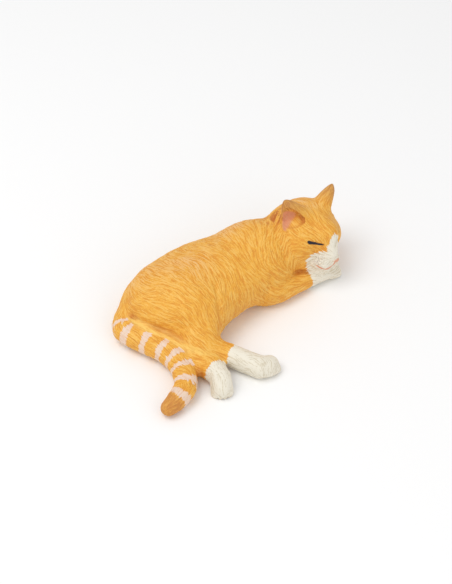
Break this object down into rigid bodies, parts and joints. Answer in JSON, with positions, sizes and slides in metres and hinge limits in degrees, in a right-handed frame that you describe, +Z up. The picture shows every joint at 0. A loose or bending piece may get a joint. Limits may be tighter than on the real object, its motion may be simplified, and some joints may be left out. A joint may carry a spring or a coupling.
{
  "type": "ceramic cat figurine",
  "caption": "Hand-painted ceramic figurine of a cat asleep on its side, built from a hollow body with luted head, ears, legs and tail; it rests on a ground flat underside.",
  "frame": {"origin": "on the resting plane, under the middle of the torso's underside between the vent hole and the belly", "axes": "+X from the rump to the head, the long way of the figure; +Y towards the cat's back; +Z up out of the resting plane, the shortest extent"},
  "size_m": [0.1028, 0.0662, 0.0359],
  "materials": {
    "ginger_fur": "matte cold-painted ginger with darker washes in the fur grooves",
    "head_fur": "matte ginger with a cream muzzle and blaze, black closed eyelids and a salmon mouth line",
    "ear_fur": "matte ginger outside, pink inside, brown tips",
    "foreleg_fur": "matte ginger fading to a cream paw",
    "cream_sock": "matte cream with a ginger edge at the hock",
    "ringed_tail": "matte ginger with pale pinkish rings"
  },
  "bodies": {
    "root": {"torso": "ginger_fur", "head": "head_fur", "ear_right": "ear_fur", "ear_left": "ear_fur", "foreleg_right": "foreleg_fur", "foreleg_left": "foreleg_fur", "hind_foot_right": "cream_sock", "hind_foot_left": "cream_sock", "tail": "ringed_tail"}
  },
  "joints": []
}
